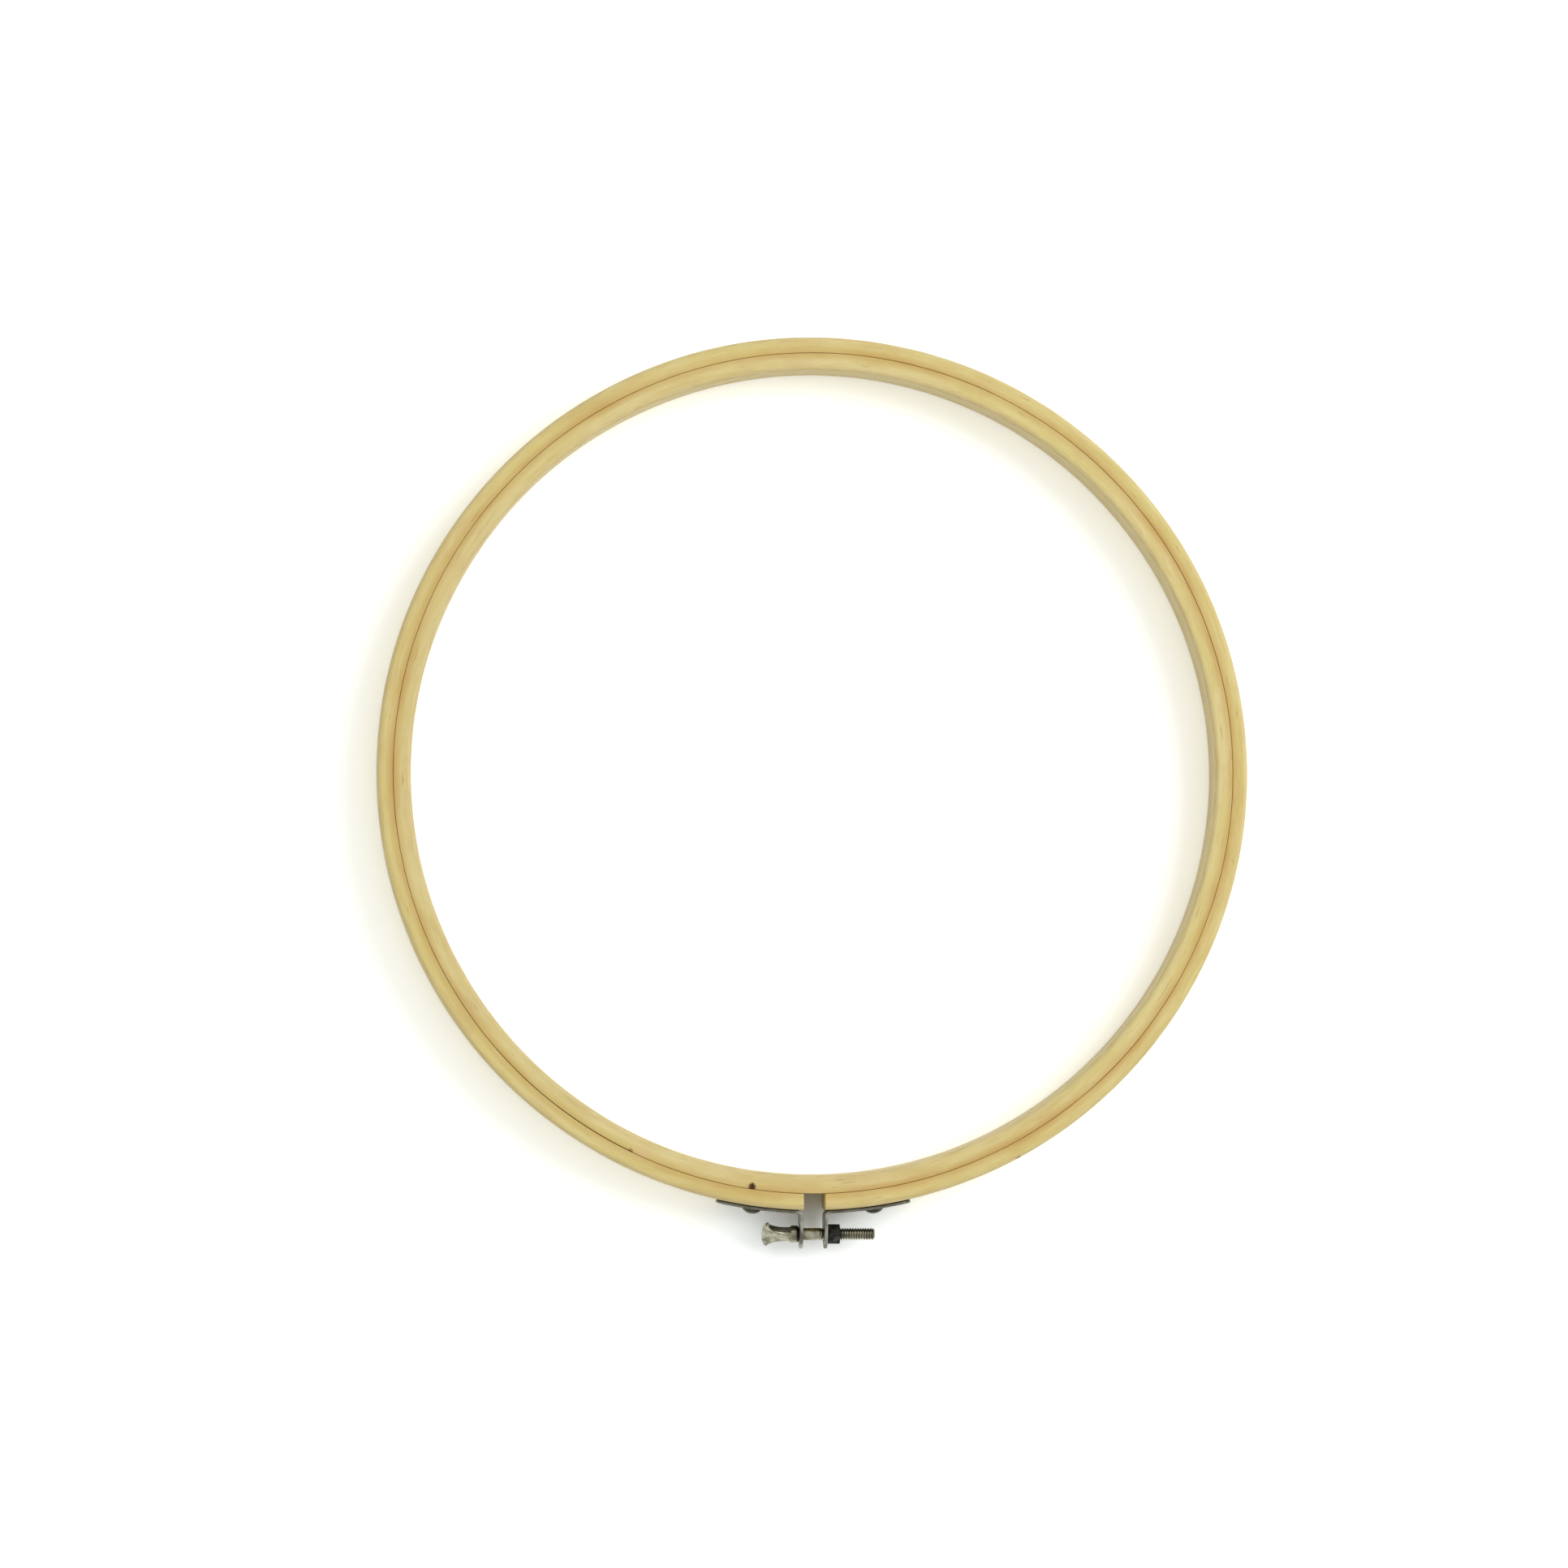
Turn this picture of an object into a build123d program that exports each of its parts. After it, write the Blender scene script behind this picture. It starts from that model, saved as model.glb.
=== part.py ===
from build123d import *
import math
import os

# An embroidery hoop: a closed inner hoop and a split outer hoop of bamboo, and the small screw that
# draws the split shut. Lengths are in millimetres. The origin is the centre of the hoops, midway up
# their height, and +Z runs up their axis. The split is at -Y, and the screw lies along X across it,
# with its head at -X and its nut at +X.

# Bamboo hoops
inner_hoop_diameter = 130.0
inner_hoop_wall = 2.7
outer_hoop_wall = 2.5
hoop_height = 9.0
hoop_clearance = 0.15
hoop_edge_round = 0.5
split_gap = 3.3

# Bent steel brackets
strap_thickness = 0.5
strap_edge_margin = 1.0
strap_bend_radius = 0.5
strap_corner_round = 1.6
strap_seat_clearance = 0.02
strap_beyond_rivet = 5.6
lug_beyond_screw = 2.25
collar_hole_clearance = 0.15
nut_hole_clearance = 0.3

# Rivets
rivet_from_lug = 7.4
rivet_head_diameter = 2.9
rivet_head_height = 0.75
rivet_shank_diameter = 1.6
rivet_tail_diameter = 2.7
rivet_tail_height = 0.8
rivet_tail_recess = 0.1
rivet_clearance = 0.02

# Thumb screw, whose thread is left as a plain shank of its outside diameter
thread_diameter = 1.9
thread_pitch = 0.4
thread_tip_chamfer = 0.2
thread_spare = 0.4
opening_turns = 12.5
collar_diameter = 2.7
collar_length = 1.5
collar_edge_round = 0.5
collar_gap = 0.05
head_length = 4.3
head_width = 6.4
head_neck_width = 2.2
head_neck_thickness = 1.7
head_tip_thickness = 0.95
head_end_bulge = 0.6
head_corner_round = 0.4
head_edge_round = 0.2
dimple_diameter = 2.4
dimple_depth = 0.16
dimple_from_collar = 2.75
head_turn = 60.0
turning_clearance = 0.05

# Hexagon nut
nut_across_flats = 3.0
nut_thickness = 1.9
nut_gap = 0.1
nut_thread_clearance = 0.05
nut_chamfer = 0.22
nut_turn = 30.0

# How far a cutting shape runs past what it cuts
overrun = 1.0

# The most of a wall or an edge that the rounding beside it takes up
round_limit_share = 0.45

# Places that follow from the sizes above
inner_outside_radius = inner_hoop_diameter / 2
inner_inside_radius = inner_outside_radius - inner_hoop_wall
outer_inside_radius = inner_outside_radius + hoop_clearance
outer_outside_radius = outer_inside_radius + outer_hoop_wall
strap_inside_radius = outer_outside_radius + strap_seat_clearance
strap_outside_radius = strap_inside_radius + strap_thickness
strap_width = hoop_height - 2 * strap_edge_margin
lug_inside = split_gap / 2
lug_outside = lug_inside + strap_thickness
screw_radius = strap_outside_radius + head_width / 2 + turning_clearance
lug_tip_radius = screw_radius + lug_beyond_screw
rivet_angle = (lug_outside + rivet_from_lug) / strap_outside_radius
strap_end_angle = rivet_angle + strap_beyond_rivet / strap_outside_radius
thread_radius = thread_diameter / 2
collar_face = -(lug_outside + collar_gap)
nut_inside = lug_outside + nut_gap
nut_travel = opening_turns * thread_pitch
thread_end = nut_inside + nut_thickness + nut_travel + thread_spare
screw_plane = Plane(origin=(0, -screw_radius, 0), x_dir=(0, 1, 0), z_dir=(1, 0, 0))

LEFT = -1
RIGHT = 1


def on_circle(radius, angle, side):
    """The point at an angle from the split, measured around the hoops to one side."""
    return Vector(side * radius * math.sin(angle), -radius * math.cos(angle))


def cylinder_between(radius, start, end):
    """A cylinder about the local Z axis, from one height to another."""
    return Pos(0, 0, start) * Cylinder(radius, end - start, align=(Align.CENTER, Align.CENTER, Align.MIN))


def limited_round(wanted, *walls):
    """A rounding or a chamfer, kept within a share of the walls beside it."""
    return min(wanted, *(wall * round_limit_share for wall in walls))


def bamboo_ring(inside_radius, outside_radius):
    """A closed ring of bent bamboo strip, with its long edges softened."""
    wall = outside_radius - inside_radius
    edge_round = limited_round(hoop_edge_round, wall, hoop_height)
    section = Pos(inside_radius + wall / 2, 0) * RectangleRounded(wall, hoop_height, edge_round)
    return revolve(Plane.XZ * section, Axis.Z)


def rivet_plane(side):
    """The rivet's own frame: its origin on the outside of the bracket, its Z axis away from the hoops."""
    seat = on_circle(strap_outside_radius, rivet_angle, side)
    outward = on_circle(1, rivet_angle, side)
    return Plane(origin=seat, x_dir=(0, 0, 1), z_dir=outward)


def rivet_heights():
    """Where the rivet's tail ends and where it starts to spread, below the outside of the bracket."""
    inner_face = outer_inside_radius - strap_outside_radius
    tail_end = inner_face + rivet_tail_recess
    return inner_face, tail_end, tail_end + rivet_tail_height


def rivet(side):
    """A domed rivet through the bracket and the strip, spread into a countersink inside the hoop."""
    _, tail_end, tail_start = rivet_heights()
    head = rivet_head_diameter / 2
    shank = rivet_shank_diameter / 2
    tail = rivet_tail_diameter / 2
    dome_radius = (head**2 + rivet_head_height**2) / (2 * rivet_head_height)
    top = (0, rivet_head_height)
    dome = RadiusArc(top, (head, 0), dome_radius)
    below = Polyline((head, 0), (shank, 0), (shank, tail_start), (tail, tail_end), (0, tail_end), top)
    return rivet_plane(side) * revolve(Plane.XZ * make_face([dome, below]), Axis.Z)


def rivet_hole(side):
    """The hole for a rivet, through the bracket and the strip, with the countersink for its tail."""
    inner_face, tail_end, tail_start = rivet_heights()
    shank = rivet_shank_diameter / 2 + rivet_clearance
    tail = rivet_tail_diameter / 2 + rivet_clearance
    past_face = inner_face - overrun
    bore = ((0, overrun), (shank, overrun), (shank, tail_start))
    countersink = ((tail, tail_end), (tail, past_face), (0, past_face))
    outline = Polyline(*bore, *countersink, close=True)
    return rivet_plane(side) * revolve(Plane.XZ * make_face(outline), Axis.Z)


def outer_hoop_half(side):
    """One half of the split outer hoop: it ends at the split and opposite it."""
    ring = bamboo_ring(outer_inside_radius, outer_outside_radius)
    kept = split(ring, bisect_by=Plane.YZ, keep=Keep.TOP if side == RIGHT else Keep.BOTTOM)
    gap_box = Box(split_gap, outer_outside_radius + overrun, hoop_height + overrun)
    return kept - Pos(0, -outer_outside_radius / 2, 0) * gap_box - rivet_hole(side)


def bracket(side):
    """A strap bent to a foot along the outer hoop and a lug that stands out beside the split."""
    foot_start_inside = -math.sqrt(strap_inside_radius**2 - lug_inside**2)
    foot_start_outside = -math.sqrt(strap_outside_radius**2 - lug_outside**2)
    inside_middle = on_circle(strap_inside_radius, strap_end_angle / 2, RIGHT)
    outside_middle = on_circle(strap_outside_radius, strap_end_angle / 2, RIGHT)
    inside_end = on_circle(strap_inside_radius, strap_end_angle, RIGHT)
    outside_end = on_circle(strap_outside_radius, strap_end_angle, RIGHT)
    outline = [
        Line((lug_inside, -lug_tip_radius), (lug_inside, foot_start_inside)),
        ThreePointArc((lug_inside, foot_start_inside), inside_middle, inside_end),
        Line(inside_end, outside_end),
        ThreePointArc(outside_end, outside_middle, (lug_outside, foot_start_outside)),
        Line((lug_outside, foot_start_outside), (lug_outside, -lug_tip_radius)),
        Line((lug_outside, -lug_tip_radius), (lug_inside, -lug_tip_radius)),
    ]
    plan = make_face(outline)
    outer_corner = plan.vertices().sort_by_distance((lug_inside, foot_start_inside))[0]
    plan = fillet(outer_corner, strap_bend_radius + strap_thickness)
    inner_corner = plan.vertices().sort_by_distance((lug_outside, foot_start_outside))[0]
    plan = fillet(inner_corner, strap_bend_radius)
    strap = extrude(plan, amount=strap_width / 2, both=True)

    # The lug has a fully rounded end, and the foot has rounded corners.
    end_radius = strap_width / 2
    round_centre = end_radius - lug_tip_radius
    side_view = Pos(round_centre, 0) * Circle(end_radius)
    side_view += Pos(round_centre / 2, 0) * Rectangle(-round_centre, strap_width)
    strap = strap & extrude(Plane.YZ * side_view, amount=strap_outside_radius)
    foot_end = strap.faces().sort_by(Axis.X)[-1]
    corner_round = limited_round(strap_corner_round, strap_width, strap_beyond_rivet)
    strap = fillet(foot_end.edges().sort_by(SortBy.LENGTH)[:2], corner_round)

    if side == LEFT:
        strap = mirror(strap, about=Plane.YZ)
    hole_radius = thread_radius + (nut_hole_clearance if side == RIGHT else collar_hole_clearance)
    hole = screw_plane * cylinder_between(hole_radius, -lug_outside - overrun, lug_outside + overrun)
    return strap - hole - rivet_hole(side)


def screw_shank():
    """The screw from inside its collar to its chamfered tip, about the local Z axis."""
    chamfer = limited_round(thread_tip_chamfer, thread_radius)
    outline = Polyline(
        (0, collar_face - collar_length / 2),
        (thread_radius, collar_face - collar_length / 2),
        (thread_radius, thread_end - chamfer),
        (thread_radius - chamfer, thread_end),
        (0, thread_end),
        close=True,
    )
    return revolve(Plane.XZ * make_face(outline), Axis.Z)


def screw_collar():
    """The round collar that bears on the lug."""
    collar = cylinder_between(collar_diameter / 2, collar_face - collar_length, collar_face)
    return fillet(collar.edges(), limited_round(collar_edge_round, collar_length, collar_diameter / 2))


def thumb_piece():
    """The flat stamped head, which widens like a fan away from the collar and has a dimple for the thumb."""
    back = collar_face - collar_length
    root = back + collar_length / 2
    tip = back - head_length
    shoulder = tip + head_end_bulge
    neck = head_neck_width / 2
    side = head_width / 2
    fan = make_face(
        [
            Polyline((neck, back), (neck, root), (-neck, root), (-neck, back)),
            TangentArc((-neck, back), (-side, shoulder), tangent=(0, -1)),
            ThreePointArc((-side, shoulder), (0, tip), (side, shoulder)),
            TangentArc((neck, back), (side, shoulder), tangent=(0, -1)),
        ]
    )
    corner_round = limited_round(head_corner_round, head_length, head_width / 2)
    fan = fillet(fan.vertices().sort_by(Axis.X)[0], corner_round)
    fan = fillet(fan.vertices().sort_by(Axis.X)[-1], corner_round)
    plate = extrude(Plane.XZ * fan, amount=head_neck_thickness, both=True)

    # Seen on edge, the plate thins from its neck to its tip.
    half_neck = head_neck_thickness / 2
    half_tip = head_tip_thickness / 2
    one_face = ((half_neck, root), (half_neck, back), (half_tip, tip))
    other_face = ((-half_tip, tip), (-half_neck, back), (-half_neck, root))
    wedge_outline = Polyline(*one_face, *other_face, close=True)
    plate = plate & extrude(Plane.YZ * make_face(wedge_outline), amount=head_width, both=True)
    edge_round = limited_round(head_edge_round, head_tip_thickness, head_neck_thickness)
    outline_edges = plate.edges().filter_by(lambda edge: edge.center().Z < back)
    plate = fillet(outline_edges, edge_round)

    dimple_radius = (dimple_diameter**2 / 4 + dimple_depth**2) / (2 * dimple_depth)
    thinning = (half_neck - half_tip) * dimple_from_collar / head_length
    dimple_centre = half_neck - thinning - dimple_depth + dimple_radius
    for face_side in (LEFT, RIGHT):
        plate -= Pos(0, face_side * dimple_centre, back - dimple_from_collar) * Sphere(dimple_radius)
    return Rot(0, 0, head_turn) * plate


def thumb_screw():
    """The screw, its collar and its thumb piece, which are one piece of metal."""
    return screw_plane * (screw_shank() + screw_collar() + thumb_piece())


def nut():
    """A hexagon nut with its corners chamfered on both faces."""
    corner_radius = nut_across_flats / math.sqrt(3)
    prism = extrude(RegularPolygon(corner_radius, 6), amount=nut_thickness)
    turned_outline = Polyline(
        (0, 0),
        (corner_radius - nut_chamfer, 0),
        (corner_radius, nut_chamfer),
        (corner_radius, nut_thickness - nut_chamfer),
        (corner_radius - nut_chamfer, nut_thickness),
        (0, nut_thickness),
        close=True,
    )
    turned = revolve(Plane.XZ * make_face(turned_outline), Axis.Z)
    bore = cylinder_between(thread_radius + nut_thread_clearance, -overrun, nut_thickness + overrun)
    return screw_plane * Pos(0, 0, nut_inside) * Rot(0, 0, nut_turn) * ((prism & turned) - bore)


def main():
    pieces = {
        "inner_hoop": bamboo_ring(inner_inside_radius, inner_outside_radius),
        "outer_hoop_left": outer_hoop_half(LEFT),
        "outer_hoop_right": outer_hoop_half(RIGHT),
        "bracket_left": bracket(LEFT),
        "bracket_right": bracket(RIGHT),
        "rivet_left": rivet(LEFT),
        "rivet_right": rivet(RIGHT),
        "thumb_screw": thumb_screw(),
        "nut": nut(),
    }
    os.makedirs("parts", exist_ok=True)
    for name, piece in pieces.items():
        export_step(piece, f"parts/{name}.step")


main()
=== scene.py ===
import math

import bmesh
import bpy
import numpy as np
from mathutils import Matrix, Vector
from mathutils.geometry import delaunay_2d_cdt

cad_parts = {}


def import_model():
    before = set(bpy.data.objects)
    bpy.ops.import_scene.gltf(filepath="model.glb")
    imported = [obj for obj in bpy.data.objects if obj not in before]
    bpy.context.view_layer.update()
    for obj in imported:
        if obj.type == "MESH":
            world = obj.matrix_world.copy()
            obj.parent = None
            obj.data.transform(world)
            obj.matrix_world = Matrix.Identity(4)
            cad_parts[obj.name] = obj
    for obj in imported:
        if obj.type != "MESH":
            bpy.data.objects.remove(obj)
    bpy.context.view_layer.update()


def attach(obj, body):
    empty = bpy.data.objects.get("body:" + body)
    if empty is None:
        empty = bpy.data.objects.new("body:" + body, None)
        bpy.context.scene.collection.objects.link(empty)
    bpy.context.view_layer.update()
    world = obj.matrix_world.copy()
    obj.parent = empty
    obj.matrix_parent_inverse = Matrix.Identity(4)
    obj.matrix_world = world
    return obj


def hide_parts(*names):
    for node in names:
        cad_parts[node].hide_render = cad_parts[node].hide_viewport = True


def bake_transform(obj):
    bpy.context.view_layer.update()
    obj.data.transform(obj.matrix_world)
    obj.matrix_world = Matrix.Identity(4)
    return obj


# An embroidery hoop lying on a white floor: its looks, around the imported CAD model.
# Shapes are worked out in millimetres, in the CAD's own frame, and written in metres.

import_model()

METRE = 0.001
QUARTER_TURN = math.pi / 2
FULL_TURN = 2 * math.pi
LEFT = -1
RIGHT = 1

# Edges that turn by more than this many degrees stay sharp.
WOOD_SHARP = 50
METAL_SHARP = 40
SCREW_SHARP = 45
CUTTER_SHARP = 35

# Bamboo hoops, as in the CAD
INNER_INSIDE = 62.3
INNER_OUTSIDE = 65.0
OUTER_INSIDE = 65.15
OUTER_OUTSIDE = 67.65
JOINT = 65.07
HALF_HEIGHT = 4.5
HALF_GAP = 1.65

# Each surface of a strip, and each rounding of its long edges: its mean place or size, how far
# its waves take it from there, and the seed of the waves. The hoops all but meet at the joint.
INNER_STRIP = {
    "inside": (INNER_INSIDE, 0.05, 3),
    "outside": (INNER_OUTSIDE + 0.04, 0.008, 4),
    "top": (HALF_HEIGHT - 0.05, 0.05, 5),
    "bottom": (0.03 - HALF_HEIGHT, 0.03, 6),
    "top_outside_round": (0.12, 0.03, 7),
    "top_inside_round": (0.7, 0.12, 8),
    "bottom_outside_round": (0.5, 0.08, 9),
    "bottom_inside_round": (0.6, 0.08, 10),
}
OUTER_STRIP = {
    "inside": (OUTER_INSIDE - 0.06, 0.008, 13),
    "outside": (OUTER_OUTSIDE - 0.04, 0.04, 14),
    "top": (HALF_HEIGHT - 0.06, 0.06, 15),
    "bottom": (0.03 - HALF_HEIGHT, 0.03, 16),
    "bottom_outside_round": (0.6, 0.1, 17),
    "top_outside_round": (0.75, 0.12, 18),
    "top_inside_round": (0.12, 0.03, 19),
    "bottom_inside_round": (0.5, 0.08, 20),
}

# How many waves there are round the hoop, from the fewest to just past the most
WAVES = {"inside": (2, 14), "outside": (2, 14), "top": (2, 11), "bottom": (2, 11)}
ROUND_WAVES = (3, 20)

# Points in each rounding, and between one rounding and the next
ROUND_POINTS = 8
OUTSIDE_POINTS = 12
TOP_POINTS = 14
INSIDE_POINTS = 12
BOTTOM_POINTS = 4
LEAST_ROUND = 0.06

# Steps round the hoops, in degrees
RING_STEP = 0.75
FINE_STEP = 0.08
FINE_REACH = 1.6
OUTER_SPINE = (-88.3, 268.3)

# The inner hoop's scarf joint: the angle of its feather end in degrees, the angles between which
# its step rises and then drops, and the step
SCARF_END = 244.4
SCARF_RISE = (SCARF_END - 31.4, SCARF_END - 3)
SCARF_DROP = (SCARF_END - 0.1, SCARF_END + 0.25)
SCARF_STEP = 0.05

# The chip in the inner hoop, which is a triangle with its point inward, at an angle in degrees
CHIP = 261.4
CHIP_POINT = 64.05
CHIP_LENGTH = 0.95
CHIP_HALF_WIDTH = 0.4
CHIP_EDGE = 0.05
CHIP_DEPTH = 0.4
CHIP_LOWEST = 3
CHIP_POINT_SHARE = 0.25
CHIP_FLAT_SHARE = 0.6

# The outer hoop is thinner on one side, round an angle in degrees, where that angle's cosine is
# more than a least value.
THINNER = 0.2
THINNER_AT = 10
THINNER_LEAST_COSINE = -0.2

# The eased edge of the outer hoop's ends
SPLIT_EDGE_ROUND = 0.18
SPLIT_EDGE_ROWS = 6

# Brackets
STRAP = 0.5
STRAP_SEAT = 67.67
STRAP_HALF_WIDTH = 3.5
STRAP_RIM = 0.13
BEND_RADIUS = 0.5
LUG_TIP = 73.67
SCREW_AT = 71.42
FOOT_CORNER = 1.6
RIVET_FROM_LUG = 7.4
FOOT_BEYOND_RIVET = 5.6
RIVET_ANGLE = (HALF_GAP + STRAP + RIVET_FROM_LUG) / (STRAP_SEAT + STRAP)
FOOT_ANGLE = RIVET_ANGLE + FOOT_BEYOND_RIVET / (STRAP_SEAT + STRAP)

# Holes in the brackets
LEFT_LUG_HOLE = 1.1
RIGHT_LUG_HOLE = 1.25
STRAP_RIVET_HOLE = 0.83
HOLE_POINTS = 48

# Points along the flat strap's outline
LUG_POINTS = 40
SIDE_POINTS = 60
FOOT_CORNER_POINTS = 10
RIM_POINTS = 5

# The small triangles that fill a strap's flat sides
FILL_SPACING = 0.4
FILL_ROW_SHARE = 0.6
FILL_MARGIN = 0.3

# Screw
THREAD = 0.95
PITCH = 0.4
THREAD_DEPTH = 0.2
THREAD_START = 1.2
THREAD_END = 9.55
THREAD_RUN_IN = (THREAD_START - 0.2, THREAD_START + 0.3)
THREAD_FLANK_SHARES = (0.15, 0.85)
THREAD_COLUMNS = 40
THREAD_ROWS = 12
SHAFT_IN_COLLAR = 0.3
SHAFT_FIRST_ROW = -2.0
SHAFT_ROW_STEP = 0.4
SHAFT_FINE_FROM = 0.9
TIP_CHAMFER = 0.3
TIP_SLOPE = 1.2
COLLAR_START = -2.2
COLLAR_END = -3.7
COLLAR_RADIUS = 1.35
COLLAR_BORE = 0.9
COLLAR_EDGE = 0.5
COLLAR_COLUMNS = 48
COLLAR_EDGE_ROWS = 10
HEAD_LENGTH = 4.3
HEAD_BULGE = 0.6
NECK_HALF_WIDTH = 1.1
HEAD_HALF_WIDTH = 3.2
NECK_HALF_THICKNESS = 0.85
TIP_HALF_THICKNESS = 0.475
HEAD_TURN = 60
HEAD_END_ROUND = 0.35
HEAD_END_NARROWER = 0.42
HEAD_END_THINNER = 0.2
NECK_SQUARENESS = 4.5
HEAD_SQUARER = 3.5
HEAD_SQUARER_SHARES = (0.05, 0.7)
HEAD_COLUMNS = 112
HEAD_ROWS = 34
HEAD_END_ROWS = 8
HEAD_IN_COLLAR_SHARE = 0.12
DISH_AT = 2.75
DISH_DEPTH = 0.16
DISH_FLOOR = 0.25
DISH_RADIUS = 1.25

# Nut
NUT_START = 2.25
NUT_END = 4.15
NUT_FLATS = 3.0
NUT_SOFT_CORNER = 0.06
NUT_FACE_SHARE = 0.97
NUT_FACE_EDGE = 0.03
NUT_FACE_RISE = 0.02
NUT_CHAMFER_DEGREES = 30
NUT_SINK = 0.14
NUT_SINK_WIDER = 0.12
NUT_SLACK = 0.05
NUT_CHAMFER_SHARES = (0.35, 0.7, 1.0)
NUT_COLUMNS = 144
NUT_THREAD_ROWS = 10

# Rivets, each as heights and radii. The tail's are from the strap's outside, and the pocket's,
# which is the countersink for the tail, are from the hoop's inside.
RIVET_HEAD = 1.45
RIVET_RISE = 0.75
RIVET_RIM = 0.1
RIVET_DOME_SHARES = (0.1, 1, 12)
RIVET_BELOW_HEAD = ((0.03, RIVET_HEAD), (0.0, RIVET_HEAD - 0.06), (0.0, 0.8), (-2.2, 0.8))
RIVET_TAIL = ((-2.92, 1.3), (-2.95, 1.0), (-2.92, 0.5), (-2.93, 0))
RIVET_POCKET = ((-1, 0), (-1, 1.4), (0.1, 1.38), (0.92, 0.82), (0.92, 0))


# Small tools

def smoothstep(start, end, value):
    share = np.clip((value - start) / (end - start), 0, 1)
    return share * share * (3 - 2 * share)


def ripple(angle, seed, lowest, highest):
    """A smooth uneven wave round the ring, between -1 and 1, that meets itself."""
    rng = np.random.default_rng(seed)
    total = np.zeros_like(angle)
    most = 0
    for harmonic in range(lowest, highest):
        weight = rng.uniform(0.4, 1) / math.sqrt(harmonic)
        total += weight * np.sin(harmonic * angle + rng.uniform(0, FULL_TURN))
        most += weight
    return np.clip(total / (0.6 * most), -1, 1)


def round_trip(count):
    """Angles all the way round, without the last one, which is the first again."""
    return np.linspace(0, FULL_TURN, count, endpoint=False)


def arc(centre, radius, start_degrees, end_degrees, count):
    angles = np.radians(np.linspace(start_degrees, end_degrees, count))
    return [(centre[0] + radius * math.cos(a), centre[1] + radius * math.sin(a)) for a in angles]


def ring_about_x(x, radius, angle):
    """A ring of points about the X axis. The radius is one number, or one for each angle."""
    places = np.broadcast_arrays(x, radius, angle)
    return [(float(along), r * math.cos(a), r * math.sin(a)) for along, r, a in zip(*places)]


def add_object(name, points, faces):
    mesh = bpy.data.meshes.new(name)
    mesh.from_pydata([tuple(METRE * float(c) for c in p) for p in points], [], faces)
    mesh.update()
    piece = bpy.data.objects.new(name, mesh)
    bpy.context.scene.collection.objects.link(piece)
    return piece


def grid_faces(rows, columns, close_rows, close_columns):
    faces = []
    for i in range(rows if close_rows else rows - 1):
        for j in range(columns if close_columns else columns - 1):
            after_i = (i + 1) % rows
            after_j = (j + 1) % columns
            faces.append((
                i * columns + j,
                after_i * columns + j,
                after_i * columns + after_j,
                i * columns + after_j,
            ))
    return faces


def capped_rows(rows):
    """Faces of a tube of rows, closed at both ends by a fan about the middle of the end row."""
    points = [point for row in rows for point in row]
    columns = len(rows[0])
    faces = grid_faces(len(rows), columns, False, True)
    for row, first in ((rows[0], 0), (rows[-1], (len(rows) - 1) * columns)):
        middle = len(points)
        points.append(tuple(np.mean(np.array(row), axis=0)))
        for k in range(columns):
            faces.append((middle, first + k, first + (k + 1) % columns))
    return points, faces


def finish_mesh(piece, sharp_degrees):
    """Makes the normals point out, and shades smoothly but for the sharp edges."""
    work = bmesh.new()
    work.from_mesh(piece.data)
    bmesh.ops.recalc_face_normals(work, faces=work.faces)
    work.to_mesh(piece.data)
    work.free()
    piece.data.shade_smooth()
    piece.data.set_sharp_from_angle(angle=math.radians(sharp_degrees))
    return piece


def lathe(name, outline, segments, place):
    """Turns an outline of (height, radius) points about the local Z axis. Its ends are on the axis."""
    points = [(0, 0, outline[0][0])]
    for height, radius in outline[1:-1]:
        points += [(radius * math.cos(a), radius * math.sin(a), height) for a in round_trip(segments)]
    points.append((0, 0, outline[-1][0]))
    faces = []
    rings = len(outline) - 2
    last_ring = 1 + (rings - 1) * segments
    last_point = len(points) - 1
    for j in range(segments):
        following = (j + 1) % segments
        faces.append((0, 1 + following, 1 + j))
        faces.append((last_point, last_ring + j, last_ring + following))
        for i in range(rings - 1):
            low = 1 + i * segments
            high = low + segments
            faces.append((low + j, low + following, high + following, high + j))
    points = [place @ Vector(point) for point in points]
    return add_object(name, points, faces)


# Materials

def linear(red, green, blue):
    """A colour given as the eye sees it, from 0 to 255, as the renderer works with it."""
    values = []
    for channel in (red, green, blue):
        share = channel / 255
        values.append(share / 12.92 if share <= 0.04045 else ((share + 0.055) / 1.055) ** 2.4)
    return (*values, 1.0)


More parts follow.
